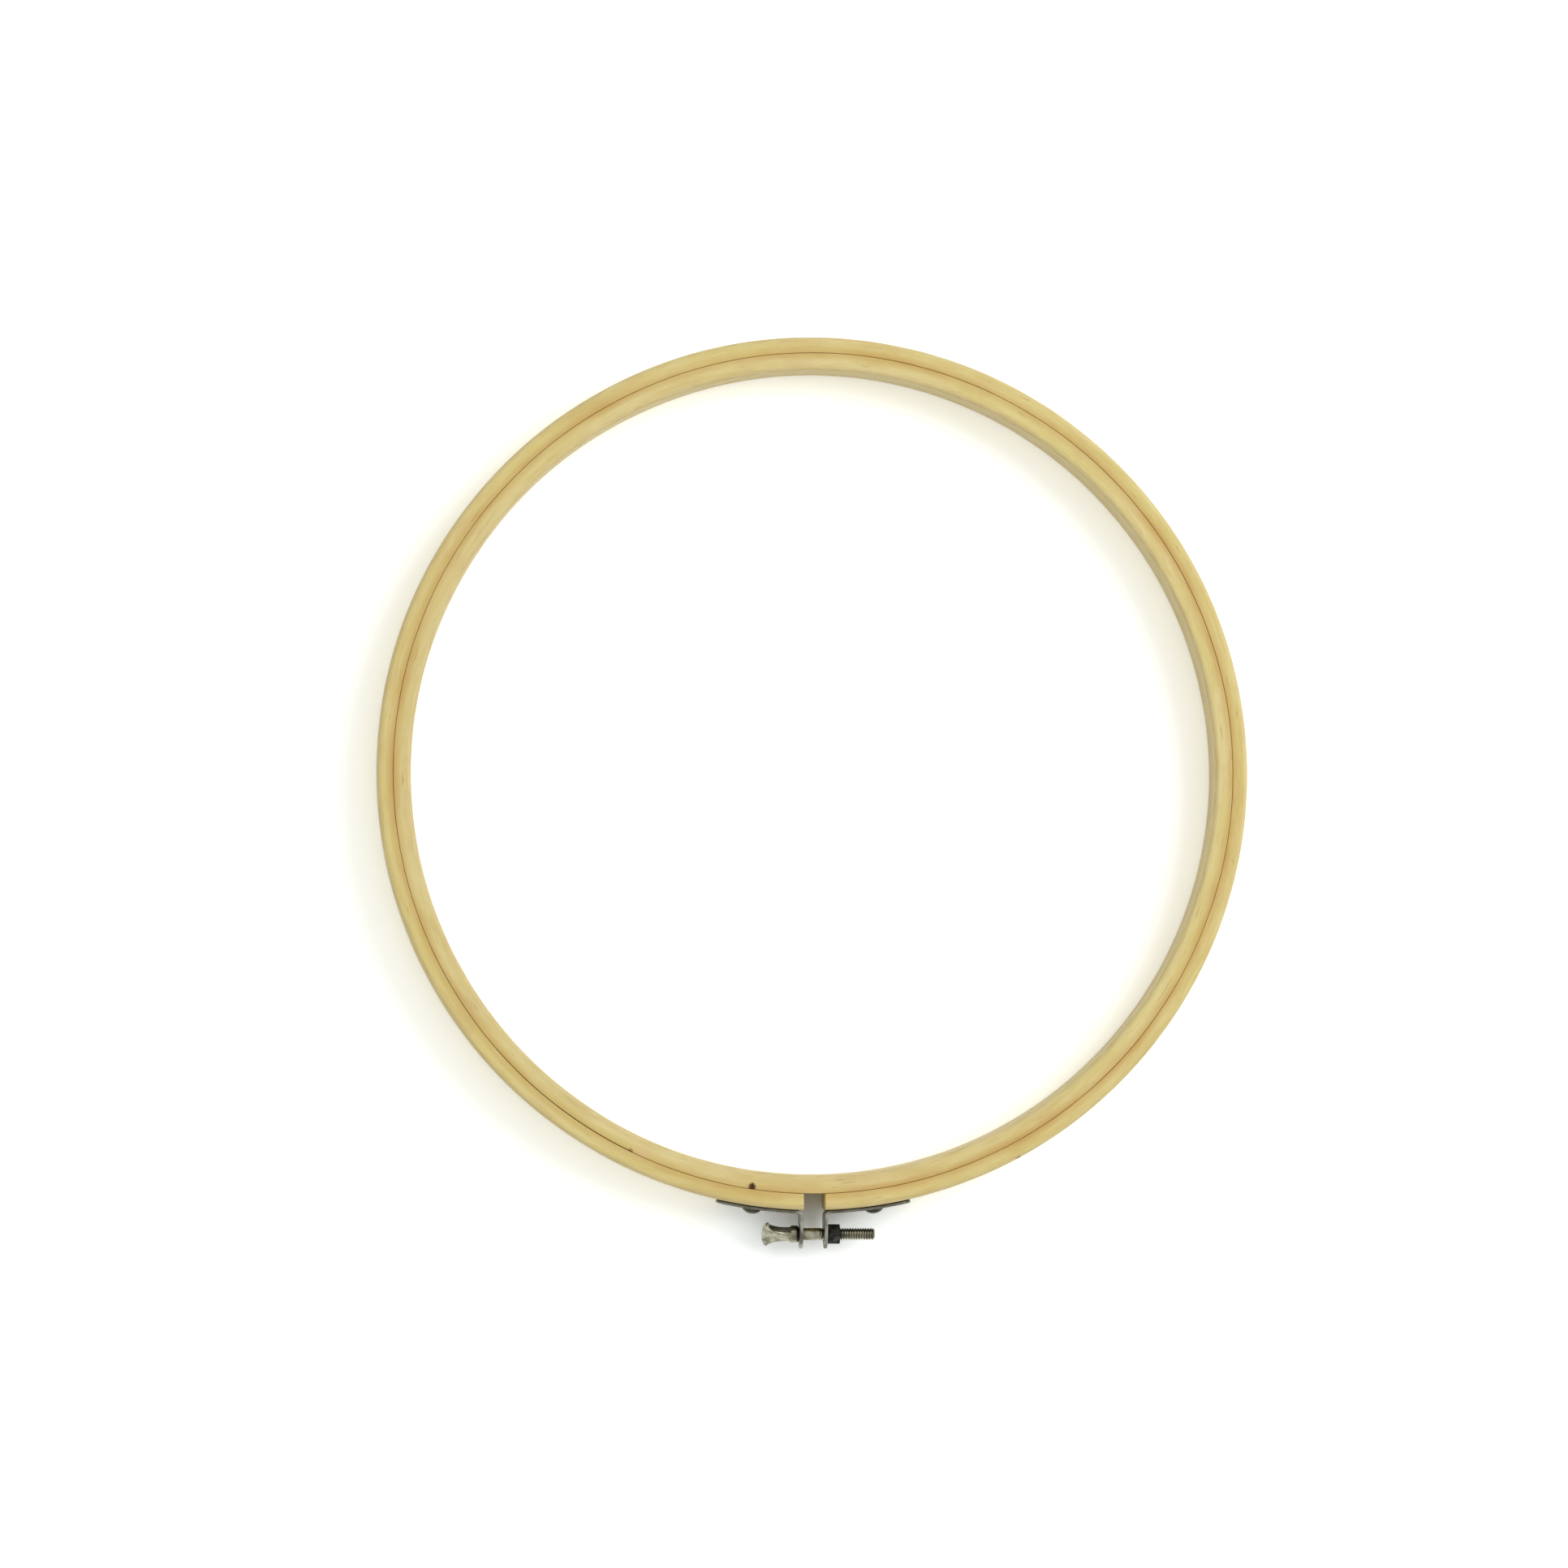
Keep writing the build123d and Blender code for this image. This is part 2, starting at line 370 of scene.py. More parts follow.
class Nodes:
    """The node tree of a material or of the world, with short ways to add nodes to it."""

    def __init__(self, owner, output):
        owner.use_nodes = True
        self.tree = owner.node_tree
        self.tree.nodes.clear()
        self.output = self.add(output)

    def add(self, kind, **settings):
        node = self.tree.nodes.new("ShaderNode" + kind)
        for key, value in settings.items():
            setattr(node, key, value)
        return node

    def put(self, target, value):
        if isinstance(value, bpy.types.NodeSocket):
            self.tree.links.new(value, target)
        else:
            target.default_value = value

    def put_all(self, node, **values):
        for key, value in values.items():
            self.put(node.inputs[key.replace("_", " ")], value)
        return node

    def attribute(self, name, output="Fac"):
        return self.add("Attribute", attribute_name=name).outputs[output]

    def math(self, operation, *values):
        node = self.add("Math", operation=operation)
        for socket, value in zip(node.inputs, values):
            self.put(socket, value)
        return node.outputs[0]

    def vector(self, operation, *values, output="Vector"):
        node = self.add("VectorMath", operation=operation)
        for socket, value in zip(node.inputs, values):
            self.put(socket, value)
        return node.outputs[output]

    def scaled(self, vector, scale):
        node = self.add("VectorMath", operation="SCALE")
        self.put(node.inputs[0], vector)
        self.put(node.inputs["Scale"], scale)
        return node.outputs[0]

    def size_along(self, vector, axis):
        """How far a vector reaches along one axis, in either direction."""
        parts = self.add("SeparateXYZ")
        self.put(parts.inputs[0], vector)
        return self.math("ABSOLUTE", parts.outputs[axis])

    def noise(self, vector, scale, detail, roughness=0.55, w=None):
        node = self.add("TexNoise", noise_dimensions="3D" if w is None else "4D")
        if w is not None:
            self.put(node.inputs["W"], w)
        self.put_all(node, Vector=vector, Scale=scale, Detail=detail, Roughness=roughness)
        return node.outputs["Fac"]

    def openness(self, distance, samples):
        node = self.add("AmbientOcclusion", samples=samples)
        return self.put_all(node, Distance=distance).outputs["AO"]

    def span(self, value, low, high, to_low=0.0, to_high=1.0):
        node = self.add("MapRange", clamp=True, interpolation_type="SMOOTHSTEP")
        self.put_all(node, Value=value, From_Min=low, From_Max=high, To_Min=to_low, To_Max=to_high)
        return node.outputs["Result"]

    def mix(self, factor, first, second):
        node = self.add("Mix", data_type="RGBA")
        self.put(node.inputs["Factor"], factor)
        self.put(node.inputs[6], first)
        self.put(node.inputs[7], second)
        return node.outputs[2]

    def layered(self, colour, layers):
        """Lays colours over each other. Each layer has a noise, the values between which the layer
        comes up, its largest share and its colour."""
        for noise, start, end, share, layer_colour in layers:
            colour = self.mix(self.span(noise, start, end, 0.0, share), colour, layer_colour)
        return colour

    def bump(self, height, distance, strength):
        node = self.add("Bump")
        return self.put_all(node, Strength=strength, Distance=distance, Height=height).outputs["Normal"]

    def surface(self, **inputs):
        shader = self.put_all(self.add("BsdfPrincipled"), **inputs)
        self.put(self.output.inputs["Surface"], shader.outputs[0])


def new_material(name):
    material = bpy.data.materials.new(name)
    return material, Nodes(material, "OutputMaterial")


# Noises along the bamboo's fibres: how fine they are round the hoop and across the strip, their
# detail, and an offset that sets each apart.
FIBRES = {
    "broad": (5.0, 0.32, 3.0, 3.0),
    "bands": (9.0, 1.3, 4.0, 11.0),
    "threads": (22.0, 4.5, 4.0, 23.0),
    "hairs": (60.0, 14.0, 2.0, 37.0),
    "dashes": (16.0, 3.2, 1.0, 51.0),
    "zones": (3.0, 0.5, 2.0, 67.0),
}
FIBRE_RADIUS = 65

# How deep the surfaces' fine relief is, and how far the painted shade reaches out of a corner, in metres
WOOD_RELIEF = 0.00006
METAL_RELIEF = 0.00002
CORNER_SHADE_REACH = 0.0016
FLOOR_SHADE_REACH = 0.014

# Where painted shade makes the wood browner beside the joint between the hoops, as distances from the joint
# and heights on the strip, and where painted shade makes it duller, as distances from the wall that has no
# hoop beside it
JOINT_SHADE_DISTANCES = (1.6, 0.15)
JOINT_SHADE_HEIGHTS = (3.4, 4.4)
JOINT_SHADE_LEAST_SHARE = 0.25
JOINT_SHADE_SHARE = 0.9
WALL_SHADE_DISTANCES = (1.1, 0.1)
WALL_SHADE_SHARE = 0.6

GREENISH_WOOD = linear(220, 206, 122)
TAN_WOOD = linear(222, 188, 128)
BROWN_WOOD = linear(158, 116, 62)
CREAM_WOOD = linear(231, 214, 166)
RED_WOOD = linear(206, 172, 118)
JOINT_SHADE_COLOUR = linear(201, 160, 86)
PALE_WALL_SHADE = linear(221, 203, 153)
DARK_WALL_SHADE = linear(199, 179, 126)


def spotted(n, rest, threads, colour, degrees, radius, height, size, spot_colour, spot_share):
    """Adds a small mark at one place of a hoop, with an edge that the fibres break up."""
    angle = math.radians(degrees)
    away = n.vector("SUBTRACT", rest, (radius * math.cos(angle), radius * math.sin(angle), height))
    distance = n.vector("LENGTH", away, output="Value")
    uneven = n.math("MULTIPLY_ADD", threads, 0.6 * size, -0.3 * size)
    share = n.span(n.math("ADD", distance, uneven), size, 0.45 * size, 0.0, spot_share)
    return n.mix(share, colour, spot_colour)


def bamboo(name, pale, middle, deep, seed, wall, spots):
    """Split bamboo: long fibres that run round the hoop, and dots of them on the cut ends."""
    material, n = new_material(name)
    rest = n.attribute("rest", "Vector")
    radial = n.attribute("radial")
    fibre = {}
    for key, (around, across, detail, offset) in FIBRES.items():
        along = n.vector("MULTIPLY", rest, (around / FIBRE_RADIUS, around / FIBRE_RADIUS, across))
        depth = n.math("MULTIPLY_ADD", radial, across, offset + seed)
        fibre[key] = n.noise(along, 1.0, detail, 0.6, w=depth)
    threads = fibre["threads"]
    blotches = n.noise(rest, 0.16, 4.0)

    colour = n.layered(pale, (
        (fibre["bands"], 0.32, 0.7, 1.0, middle),
        (fibre["broad"], 0.48, 0.72, 0.75, deep),
        (fibre["zones"], 0.5, 0.66, 0.45, GREENISH_WOOD),
        (fibre["zones"], 0.46, 0.32, 0.25, TAN_WOOD),
        (threads, 0.42, 0.7, 0.5, n.mix(0.5, middle, deep)),
        (fibre["dashes"], 0.66, 0.74, 0.42, BROWN_WOOD),
        (fibre["hairs"], 0.35, 0.75, 0.22, CREAM_WOOD),
        (blotches, 0.5, 0.75, 0.3, RED_WOOD),
    ))

    # Painted shade: the rim is browner beside the joint between the hoops, where shade falls in the crevice,
    # and the walls are duller, as walls in shade look.
    from_joint = n.math("ABSOLUTE", n.math("SUBTRACT", radial, JOINT))
    from_joint = n.math("ADD", from_joint, n.math("MULTIPLY", threads, 0.5))
    joint_shade = n.span(from_joint, *JOINT_SHADE_DISTANCES, 0.0, JOINT_SHADE_SHARE)
    on_rim = n.span(n.size_along(rest, "Z"), *JOINT_SHADE_HEIGHTS, JOINT_SHADE_LEAST_SHARE, 1.0)
    joint_shade = n.math("MULTIPLY", joint_shade, on_rim)
    uneven = n.span(fibre["broad"], 0.3, 0.7, 0.45, 1.0)
    colour = n.mix(n.math("MULTIPLY", joint_shade, uneven), colour, JOINT_SHADE_COLOUR)
    # Painted shade: the wall with no hoop beside it turns duller and greyer, broken up by the fibres.
    from_wall = n.math("ABSOLUTE", n.math("SUBTRACT", radial, wall))
    wall_shade_colour = n.mix(n.span(threads, 0.35, 0.65), PALE_WALL_SHADE, DARK_WALL_SHADE)
    colour = n.mix(n.span(from_wall, *WALL_SHADE_DISTANCES, 0.0, WALL_SHADE_SHARE), colour, wall_shade_colour)
    for spot in spots:
        colour = spotted(n, rest, threads, colour, *spot)

    height = n.math("ADD", n.math("MULTIPLY", threads, 0.6), n.math("MULTIPLY", fibre["hairs"], 0.4))
    rough = n.span(fibre["bands"], 0.3, 0.7, 0.42, 0.58)
    n.surface(
        Base_Color=colour,
        Roughness=n.math("ADD", rough, n.span(threads, 0.4, 0.7, 0.0, 0.1)),
        Normal=n.bump(height, WOOD_RELIEF, 0.55),
        Specular_IOR_Level=0.38,
    )
    return material


PALE_FOOT_COLOUR = linear(106, 104, 90)
DARK_FOOT_COLOUR = linear(89, 87, 73)
CORNER_SHADE_COLOUR = linear(40, 37, 27)
PER_METRE = (1000, 1000, 1000)


def metal(name, light, dark, roughness, corner_shade, seed=0.0, darker_foot_beyond=None):
    """Plated or darkened steel, unevenly tarnished, with fine scratches, and painted shade that darkens its
    corners.
    """
    material, n = new_material(name)
    place = n.vector("MULTIPLY", n.add("TexCoord").outputs["Object"], PER_METRE)
    place = n.vector("ADD", place, (seed, seed, seed))
    clouds = n.noise(place, 0.55, 5.0, 0.6)
    specks = n.noise(place, 5.0, 4.0, 0.65)
    lines = n.noise(n.vector("MULTIPLY", place, (1.2, 9.0, 9.0)), 1.6, 4.0, 0.7)
    colour = n.layered(light, (
        (clouds, 0.35, 0.68, 1.0, dark),
        (specks, 0.55, 0.78, 0.4, dark),
        (lines, 0.55, 0.8, 0.4, light),
    ))
    if darker_foot_beyond is not None:
        # The bracket's foot is darker than its lug.
        sideways = n.math("ADD", n.size_along(place, "X"), clouds)
        on_foot = n.span(sideways, darker_foot_beyond, darker_foot_beyond + 1.2, 0.0, 0.85)
        foot_colour = n.mix(n.span(clouds, 0.36, 0.64), PALE_FOOT_COLOUR, DARK_FOOT_COLOUR)
        colour = n.mix(on_foot, colour, foot_colour)
    # Painted shade: the colour turns dark where the occlusion is deep, in corners and crevices.
    colour = n.mix(n.span(n.openness(CORNER_SHADE_REACH, 8), 0.25, 0.95, corner_shade, 0.0), colour, CORNER_SHADE_COLOUR)
    rough = n.math("ADD", n.span(clouds, 0.3, 0.7, -0.08, 0.1), roughness)
    height = n.math("ADD", n.math("MULTIPLY", lines, 0.7), n.math("MULTIPLY", specks, 0.5))
    n.surface(
        Base_Color=colour,
        Metallic=1.0,
        Roughness=n.math("ADD", rough, n.span(lines, 0.4, 0.8, 0.0, 0.12)),
        Normal=n.bump(height, METAL_RELIEF, 0.5),
    )
    return material


# Bamboo hoops

def strip_shape(strip, angle):
    """Where each surface of a strip is, and the size of each rounding, at every angle."""
    shape = {}
    for key, (mean, reach, seed) in strip.items():
        shape[key] = mean + reach * ripple(angle, seed, *WAVES.get(key, ROUND_WAVES))
    return shape


def strip_section(shape, inset=0):
    """Points round a strip's cross-section, as radius and height, for every angle at once."""
    inside = shape["inside"] + inset
    outside = shape["outside"] - inset
    bottom = shape["bottom"] + inset
    top = shape["top"] - inset
    # Each corner, the directions that point out of the strip there, and the points that follow it
    corners = (
        (outside, bottom, 1, -1, "bottom_outside_round", -90, OUTSIDE_POINTS),
        (outside, top, 1, 1, "top_outside_round", 0, TOP_POINTS),
        (inside, top, -1, 1, "top_inside_round", 90, INSIDE_POINTS),
        (inside, bottom, -1, -1, "bottom_inside_round", 180, BOTTOM_POINTS),
    )
    roundings = []
    for radius, height, out, up, key, start, _ in corners:
        size = np.maximum(shape[key] - inset, LEAST_ROUND)
        roundings.append([
            (radius + size * (math.cos(turn) - out), height + size * (math.sin(turn) - up))
            for turn in np.radians(np.linspace(start, start + 90, ROUND_POINTS))
        ])
    points = []
    for number, corner in enumerate(corners):
        points += roundings[number]
        before = roundings[number][-1]
        after = roundings[(number + 1) % len(roundings)][0]
        for share in np.linspace(0, 1, corner[-1] + 2)[1:-1]:
            points.append(tuple(a + (b - a) * share for a, b in zip(before, after)))
    return points


def store_rest(piece):
    """Keeps each point's place at rest, in millimetres, so that the fibres never slide."""
    mesh = piece.data
    places = np.zeros(len(mesh.vertices) * 3, np.float32)
    mesh.vertices.foreach_get("co", places)
    places /= METRE
    rest = mesh.attributes.new("rest", "FLOAT_VECTOR", "POINT")
    rest.data.foreach_set("vector", places)
    places = places.reshape(-1, 3)
    radial = mesh.attributes.new("radial", "FLOAT", "POINT")
    radial.data.foreach_set("value", np.hypot(places[:, 0], places[:, 1]))


def inner_hoop():
    # The steps are finer at the scarf's feather end and at the chip.
    degrees = np.arange(0, 360, RING_STEP)
    for centre in (SCARF_END, CHIP):
        degrees = degrees[np.abs(degrees - centre) > FINE_REACH]
        fine = np.arange(centre - FINE_REACH, centre + FINE_REACH, FINE_STEP)
        degrees = np.sort(np.concatenate((degrees, fine)))
    angle = np.radians(degrees)
    shape = strip_shape(INNER_STRIP, angle)

    # The feather end of the scarf joint stands a little below its neighbour.
    scarf = smoothstep(*SCARF_RISE, degrees) * (1 - smoothstep(*SCARF_DROP, degrees))
    shape["outside"] -= SCARF_STEP * scarf
    shape["top_outside_round"] += SCARF_STEP * scarf

    section = strip_section(shape)
    points = np.zeros((len(angle), len(section), 3))
    from_chip = INNER_OUTSIDE * np.abs(angle - math.radians(CHIP))
    for j, (radius, height) in enumerate(section):
        share = np.clip((radius - CHIP_POINT) / CHIP_LENGTH, 0, 1)
        reach = CHIP_HALF_WIDTH * share
        chipped = 1 - smoothstep(CHIP_FLAT_SHARE * reach, reach + CHIP_EDGE, from_chip)
        chipped *= (height > CHIP_LOWEST) * smoothstep(0, CHIP_POINT_SHARE, share)
        points[:, j, 0] = radius * np.cos(angle)
        points[:, j, 1] = radius * np.sin(angle)
        points[:, j, 2] = height - CHIP_DEPTH * chipped
    faces = grid_faces(len(angle), len(section), True, True)
    piece = add_object("inner_hoop_bamboo", points.reshape(-1, 3), faces)
    finish_mesh(piece, WOOD_SHARP)
    store_rest(piece)
    return piece


def outer_section(angle, inset=0):
    """The outer strip's cross-section at one angle, as pairs of radius and height."""
    angle = np.array([angle])
    shape = strip_shape(OUTER_STRIP, angle)
    cosine = np.cos(angle - math.radians(THINNER_AT))
    shape["outside"] -= THINNER * smoothstep(THINNER_LEAST_COSINE, 1, cosine)
    return [(float(radius[0]), float(height[0])) for radius, height in strip_section(shape, inset)]


def split_end(side):
    """Rows at one end of the outer strip: a flat face across the split, and its eased edge."""
    rows = []
    for turn in np.linspace(0, QUARTER_TURN, SPLIT_EDGE_ROWS):
        across = HALF_GAP + SPLIT_EDGE_ROUND * (1 - math.cos(turn))
        inset = SPLIT_EDGE_ROUND * (1 - math.sin(turn))
        from_split = math.asin(across / OUTER_OUTSIDE)
        angle = from_split - QUARTER_TURN if side == RIGHT else 3 * QUARTER_TURN - from_split
        rows.append([
            (side * across, -math.sqrt(radius**2 - across**2), height)
            for radius, height in outer_section(angle, inset)
        ])
    return rows


def rivet_place(side, radius):
    """The rivet's own frame at some distance from the hoops' axis. Its Z axis points away from it."""
    outward = Vector((side * math.sin(RIVET_ANGLE), -math.cos(RIVET_ANGLE), 0))
    upward = Vector((0, 0, 1))
    turn = Matrix((upward.cross(outward), upward, outward)).transposed().to_4x4()
    return Matrix.Translation(radius * outward) @ turn


def outer_hoop():
    rows = split_end(RIGHT)
    for angle in np.radians(np.arange(*OUTER_SPINE, RING_STEP)):
        section = outer_section(angle)
        rows.append([(r * math.cos(angle), r * math.sin(angle), height) for r, height in section])
    rows += split_end(LEFT)[::-1]
    columns = len(rows[0])
    faces = grid_faces(len(rows), columns, False, True)
    faces.append(tuple(range(columns)))
    faces.append(tuple((len(rows) - 1) * columns + j for j in range(columns))[::-1])
    points = [point for row in rows for point in row]
    piece = add_object("outer_hoop_bamboo", points, faces)
    finish_mesh(piece, WOOD_SHARP)
    # The rivets' tails sit in countersinks inside the hoop.
    for side in (LEFT, RIGHT):
        cutter = lathe("cutter", RIVET_POCKET, HOLE_POINTS, rivet_place(side, OUTER_INSIDE))
        finish_mesh(cutter, CUTTER_SHARP)
        cut = piece.modifiers.new("pocket", "BOOLEAN")
        cut.object = cutter
        cut.operation = "DIFFERENCE"
        cut.solver = "EXACT"
        graph = bpy.context.evaluated_depsgraph_get()
        result = bpy.data.meshes.new_from_object(piece.evaluated_get(graph))
        piece.modifiers.clear()
        piece.data = result
        bpy.data.objects.remove(cutter)
    finish_mesh(piece, WOOD_SHARP)
    store_rest(piece)
    return piece


# Brackets

def plate_outline(inset, length):
    """The flat strap's outline, drawn in by some amount: its round lug first and its foot after it."""
    half = STRAP_HALF_WIDTH - inset
    corner = FOOT_CORNER - inset
    foot = length - inset
    side_places = np.linspace(STRAP_HALF_WIDTH, foot - corner, SIDE_POINTS)[1:-1]
    points = arc((STRAP_HALF_WIDTH, 0), half, 90, 270, LUG_POINTS)
    points += [(u, -half) for u in side_places]
    points += arc((foot - corner, -half + corner), corner, -90, 0, FOOT_CORNER_POINTS)
    points += arc((foot - corner, half - corner), corner, 0, 90, FOOT_CORNER_POINTS)
    points += [(u, half) for u in side_places[::-1]]
    return points


def fill_points(length, holes):
    """Points over the flat strap, clear of its edges and its holes."""
    half = STRAP_HALF_WIDTH
    filled = []
    for u in np.arange(FILL_SPACING, length, FILL_SPACING * FILL_ROW_SHARE):
        for z in np.arange(-half + FILL_SPACING, half, FILL_SPACING):
            inside = abs(z) < half - FILL_MARGIN and u < length - FILL_MARGIN
            if u < half:
                inside = inside and math.hypot(u - half, z) < half - FILL_MARGIN
            corner_u = u - (length - FOOT_CORNER)
            corner_z = abs(z) - (half - FOOT_CORNER)
            if corner_u > 0 and corner_z > 0:
                inside = inside and math.hypot(corner_u, corner_z) < FOOT_CORNER - FILL_MARGIN
            for (hole_u, hole_z), radius in holes:
                inside = inside and math.hypot(u - hole_u, z - hole_z) > radius + FILL_MARGIN
            if inside:
                filled.append((u, z))
    return filled


def bracket(name, side, screw_hole):
    """A strap that is drawn flat, with rounded rims, and then bent to its lug and its foot."""
    bend_x = HALF_GAP + STRAP + BEND_RADIUS
    bend_centre_radius = STRAP_SEAT + BEND_RADIUS + STRAP
    bend_y = math.sqrt(bend_centre_radius**2 - bend_x**2)
    foot_start = math.asin(bend_x / bend_centre_radius)
    bend_turn = QUARTER_TURN - foot_start
    bend_length = (BEND_RADIUS + STRAP / 2) * bend_turn
    lug_length = LUG_TIP - bend_y
    foot_radius = STRAP_SEAT + STRAP / 2
    length = lug_length + bend_length + foot_radius * (FOOT_ANGLE - foot_start)
    rivet_u = lug_length + bend_length + foot_radius * (RIVET_ANGLE - foot_start)
    holes = (((LUG_TIP - SCREW_AT, 0), screw_hole), ((rivet_u, 0), STRAP_RIVET_HOLE))

    # Each pair is how far the outline is drawn in, and the height in the strap.
    rims = []
    for turn in np.linspace(0, QUARTER_TURN, RIM_POINTS):
        rims.append((STRAP_RIM * (1 - math.sin(turn)), STRAP_RIM * (1 - math.cos(turn))))
    rims += [(inset, STRAP - height) for inset, height in rims[::-1]]

    # The strap's edge and the walls of its holes
    walls = [[plate_outline(inset, length) for inset, _ in rims]]
    last_degrees = 360 - 360 / HOLE_POINTS
    for centre, radius in holes:
        walls.append([arc(centre, radius + inset, 0, last_degrees, HOLE_POINTS) for inset, _ in rims])
    points = []
    faces = []
    loops = []
    for outlines in walls:
        first = len(points)
        count = len(outlines[0])
        for outline, (_, height) in zip(outlines, rims):
            points.extend((u, z, height) for u, z in outline)
        faces += [tuple(first + k for k in face) for face in grid_faces(len(rims), count, False, True)]
        last = len(points) - count
        loops.append((range(first, first + count), range(last, last + count)))

    # Both flat sides are filled with small triangles, so that they bend smoothly.
    filled = fill_points(length, holes)
    for flat_side in (0, 1):
        indices = [i for loop in loops for i in loop[flat_side]]
        flat = [Vector(points[i][:2]) for i in indices]
        height = points[indices[0]][2]
        edges = []
        begin = 0
        for loop in loops:
            count = len(loop[flat_side])
            edges += [(begin + k, begin + (k + 1) % count) for k in range(count)]
            begin += count
        for u, z in filled:
            indices.append(len(points))
            points.append((u, z, height))
            flat.append(Vector((u, z)))
        _, _, triangles, _, _, _ = delaunay_2d_cdt(flat, edges, [], 1, 1e-7)
        for triangle in triangles:
            middle = sum((flat[k] for k in triangle), Vector((0, 0))) / 3
            in_hole = any((middle - Vector(c)).length < r + STRAP_RIM for c, r in holes)
            if not in_hole:
                faces.append(tuple(indices[k] for k in triangle))

    def bent(u, z, height):
        """Height 0 is the face on the hoop and the split, and the strap's thickness is the other one."""
        if u < lug_length:
            x = HALF_GAP + height
            y = u - LUG_TIP
        elif u < lug_length + bend_length:
            turn = math.pi - (u - lug_length) / bend_length * bend_turn
            reach = BEND_RADIUS + STRAP - height
            x = bend_x + reach * math.cos(turn)
            y = reach * math.sin(turn) - bend_y
        else:
            turn = foot_start + (u - lug_length - bend_length) / foot_radius
            x = (STRAP_SEAT + height) * math.sin(turn)
            y = -(STRAP_SEAT + height) * math.cos(turn)
        return side * x, y, z

    piece = add_object(name, [bent(*point) for point in points], faces)
    return finish_mesh(piece, METAL_SHARP)


# Screw, nut and rivets

def thread_radius(x, angle):
    """The thread's radius, for a right-handed screw along X: 60 degree flanks, cut flats."""
    turn = np.mod(x / PITCH + angle / FULL_TURN, 1)
    wave = np.abs(turn - 0.5) * 2
    return THREAD - THREAD_DEPTH * smoothstep(*THREAD_FLANK_SHARES, wave)


def screw_shaft():
    angle = round_trip(THREAD_COLUMNS)
    along = [COLLAR_START - SHAFT_IN_COLLAR]
    along += list(np.arange(SHAFT_FIRST_ROW, SHAFT_FINE_FROM, SHAFT_ROW_STEP))
    along += list(np.arange(SHAFT_FINE_FROM, THREAD_END, PITCH / THREAD_ROWS))
    along.append(THREAD_END)
    rows = []
    for x in along:
        threaded = smoothstep(*THREAD_RUN_IN, x)
        radius = THREAD + (thread_radius(x, angle) - THREAD) * threaded
        chamfered = THREAD - TIP_CHAMFER + (THREAD_END - x) * TIP_SLOPE
        rows.append(ring_about_x(x, np.minimum(radius, chamfered), angle))
    return rows


def collar_rows():
    """The round collar: a bore's edge, a quarter round at each face, and straight between them."""
    centre = COLLAR_RADIUS - COLLAR_EDGE
    turns = np.linspace(QUARTER_TURN, 0, COLLAR_EDGE_ROWS)
    outline = [(COLLAR_START, COLLAR_BORE)]
    for turn in turns:
        drawn_in = COLLAR_EDGE * (1 - math.sin(turn))
        outline.append((COLLAR_START - drawn_in, centre + COLLAR_EDGE * math.cos(turn)))
    for turn in turns[::-1]:
        drawn_in = COLLAR_EDGE * (1 - math.sin(turn))
        outline.append((COLLAR_END + drawn_in, centre + COLLAR_EDGE * math.cos(turn)))
    outline.append((COLLAR_END, COLLAR_BORE))
    return [ring_about_x(x, radius, round_trip(COLLAR_COLUMNS)) for x, radius in outline]


def toward_square(value, size, squareness):
    """One coordinate of a rounded square, from the sine or the cosine of the angle."""
    return size * math.copysign(abs(value) ** (2 / squareness), value)


def head_rows():
    """The stamped fan: it widens and thins from the collar to its bulged tip, and is dished."""
    side_length = HEAD_LENGTH - HEAD_BULGE
    widening = HEAD_HALF_WIDTH - NECK_HALF_WIDTH
    flank = (widening**2 + side_length**2) / (2 * widening)
    thinning = NECK_HALF_THICKNESS - TIP_HALF_THICKNESS
    tilt = math.radians(HEAD_TURN)
    # Each pair is how far along the head a row is, and how far round the edge of its tip.
    stations = [(-HEAD_IN_COLLAR_SHARE, 0)]
    stations += [(share, 0) for share in np.linspace(0, 1, HEAD_ROWS)]
    stations += [(1, turn) for turn in np.linspace(0, QUARTER_TURN, HEAD_END_ROWS)[1:]]
    rows = []
    for share, turn in stations:
        along = max(share, 0)
        drawn_in = 1 - math.cos(turn)
        width = NECK_HALF_WIDTH + flank - math.sqrt(flank**2 - (side_length * along) ** 2)
        width -= HEAD_END_NARROWER * drawn_in
        thickness = NECK_HALF_THICKNESS - thinning * along
        thickness -= HEAD_END_THINNER * drawn_in
        squareness = NECK_SQUARENESS + HEAD_SQUARER * smoothstep(*HEAD_SQUARER_SHARES, along)
        flat_end = side_length * share - HEAD_END_ROUND * along * (1 - math.sin(turn))
        row = []
        for angle in round_trip(HEAD_COLUMNS):
            across = toward_square(math.cos(angle), width, squareness)
            through = toward_square(math.sin(angle), thickness, squareness)
            bulge = HEAD_BULGE * along * (1 - (across / HEAD_HALF_WIDTH) ** 2)
            x = COLLAR_END - flat_end - bulge
            from_dish = math.hypot(x - COLLAR_END + DISH_AT, across)
            depth = DISH_DEPTH * (1 - smoothstep(DISH_FLOOR, DISH_RADIUS, from_dish))
            through -= math.copysign(min(depth, abs(through)), through)
            y = across * math.cos(tilt) - through * math.sin(tilt)
            z = across * math.sin(tilt) + through * math.cos(tilt)
            row.append((x, y, z))
        rows.append(row)
    return rows


def at_screw(points):
    """Moves points from about the X axis to about the screw's own axis."""
    return [(x, y - SCREW_AT, z) for x, y, z in points]


def thumb_screw():
    points = []
    faces = []
    for rows in (screw_shaft(), collar_rows(), head_rows()):
        more_points, more_faces = capped_rows(rows)
        offset = len(points)
        points += more_points
        faces += [tuple(i + offset for i in face) for face in more_faces]
    piece = add_object("thumb_screw_metal", at_screw(points), faces)
    return finish_mesh(piece, SCREW_SHARP)


